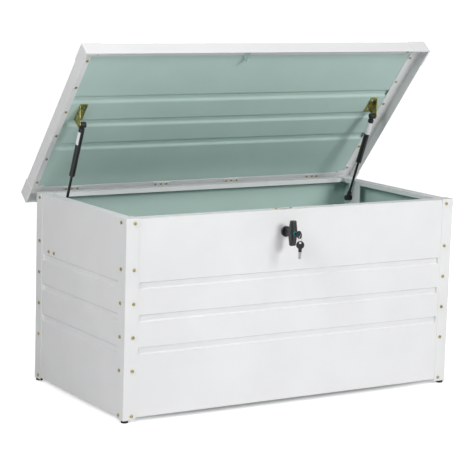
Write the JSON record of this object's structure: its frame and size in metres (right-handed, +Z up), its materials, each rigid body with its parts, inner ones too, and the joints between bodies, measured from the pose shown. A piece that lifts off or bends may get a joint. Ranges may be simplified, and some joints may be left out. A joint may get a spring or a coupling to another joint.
{
  "type": "deck storage box",
  "caption": "Steel deck storage box on corner posts, with a hinged lid held open by gas struts and a locking T-handle on the front.",
  "frame": {"origin": "on the floor under the middle of the whole box with its lid open", "axes": "+X towards the right end seen from the front, +Y towards the rear, +Z up; the lid's hinge runs along X"},
  "size_m": [1.223, 0.7084, 1.0632],
  "materials": {
    "white_steel": "white powder coat, satin",
    "green_steel": "pale sage green powder coat, satin",
    "yellow_zinc": "yellow zinc plating",
    "olive_zinc": "olive yellow zinc plating",
    "black_metal": "black, semi-gloss",
    "black_plastic": "black moulded plastic",
    "teal_enamel": "teal enamel",
    "plain_steel": "plain zinc plating",
    "bright_steel": "bright steel"
  },
  "bodies": {
    "box": {"front_panel": "white_steel", "rear_panel": "white_steel", "left_panel": "white_steel", "right_panel": "white_steel", "floor_panel": "green_steel", "post_front_left": "white_steel", "post_front_right": "white_steel", "post_rear_left": "white_steel", "post_rear_right": "white_steel", "post_caps": "white_steel", "feet": "black_plastic", "post_screws": "yellow_zinc", "post_nuts": "yellow_zinc", "strut_plate_left": "white_steel", "strut_plate_right": "white_steel", "lower_pivot_studs": "black_metal", "strut_plate_screws": "yellow_zinc", "hinge_lower_leaves": "white_steel", "hinge_lower_screws": "yellow_zinc", "hinge_pins": "plain_steel", "lock_rosette": "black_metal", "lock_barrel": "black_metal", "lock_nut": "plain_steel", "latch_plate": "white_steel", "latch_screws": "yellow_zinc"},
    "lid": {"lid_panel": "green_steel", "lid_rail_front": "white_steel", "lid_rail_rear": "white_steel", "lid_rail_left": "white_steel", "lid_rail_right": "white_steel", "lid_corner_front_left": "white_steel", "lid_corner_front_right": "white_steel", "lid_corner_rear_left": "white_steel", "lid_corner_rear_right": "white_steel", "lid_screws": "yellow_zinc", "lid_rivets": "plain_steel", "hinge_upper_leaves": "white_steel", "hinge_upper_screws": "yellow_zinc", "strut_bracket_left": "olive_zinc", "strut_bracket_right": "olive_zinc", "upper_pivot_studs": "black_metal", "lid_striker": "green_steel"},
    "left_rod": {"strut_socket_lower_left": "black_plastic", "strut_rod_left": "black_metal"},
    "left_tube": {"strut_tube_left": "black_metal", "strut_socket_upper_left": "black_plastic"},
    "right_rod": {"strut_socket_lower_right": "black_plastic", "strut_rod_right": "black_metal"},
    "right_tube": {"strut_tube_right": "black_metal", "strut_socket_upper_right": "black_plastic"},
    "handle": {"t_handle": "black_metal", "lock_tongue": "plain_steel", "tongue_screw": "plain_steel"},
    "plug": {"lock_plug": "teal_enamel"},
    "key": {"key_head": "black_plastic", "key_blade": "bright_steel"},
    "ring": {"key_ring": "bright_steel"},
    "spare_key": {"spare_key_head": "black_plastic", "spare_key_blade": "bright_steel"}
  },
  "joints": [
    {"name": "lid_hinge", "type": "hinge", "parent": "box", "child": "lid", "pos_m": [0, 0.31968, 0.569], "axis": [1, 0, 0], "range_deg": [0, 50.5]},
    {"name": "left_strut_swing", "type": "hinge", "parent": "box", "child": "left_rod", "pos_m": [-0.5275, 0.22668, 0.528], "axis": [1, 0, 0], "range_deg": [0, 59.3]},
    {"name": "left_strut_slide", "type": "slide", "parent": "left_rod", "child": "left_tube", "axis": [0, -0.3841, 0.9233], "range_m": [-0.0766, 0]},
    {"name": "right_strut_swing", "type": "hinge", "parent": "box", "child": "right_rod", "pos_m": [0.5275, 0.22668, 0.528], "axis": [1, 0, 0], "range_deg": [0, 59.3]},
    {"name": "right_strut_slide", "type": "slide", "parent": "right_rod", "child": "right_tube", "axis": [0, -0.3841, 0.9233], "range_m": [-0.0766, 0]},
    {"name": "handle_turn", "type": "hinge", "parent": "box", "child": "handle", "pos_m": [-0.045, -0.27732, 0.523], "axis": [0, -1, 0], "range_deg": [0, 90]},
    {"name": "key_turn", "type": "hinge", "parent": "handle", "child": "plug", "pos_m": [-0.045, -0.31232, 0.523], "axis": [0, -1, 0], "range_deg": [0, 90]},
    {"name": "key_pull", "type": "slide", "parent": "plug", "child": "key", "axis": [0, -1, 0], "range_m": [0, 0.024]},
    {"name": "ring_swing", "type": "hinge", "parent": "key", "child": "ring", "pos_m": [-0.045, -0.34682, 0.5213], "axis": [0.8746, 0.4848, 0], "range_deg": [-60, 12]},
    {"name": "spare_key_swing", "type": "hinge", "parent": "ring", "child": "spare_key", "pos_m": [-0.045, -0.34682, 0.5023], "axis": [0.8746, 0.4848, 0], "range_deg": [-40, 15]}
  ],
  "couplings": [
    {"joint": "left_strut_swing", "follows": "lid_hinge", "ratio": 1.1732},
    {"joint": "left_strut_slide", "follows": "lid_hinge", "m_per_rad": -0.086774},
    {"joint": "right_strut_swing", "follows": "lid_hinge", "ratio": 1.1732},
    {"joint": "right_strut_slide", "follows": "lid_hinge", "m_per_rad": -0.086774}
  ]
}
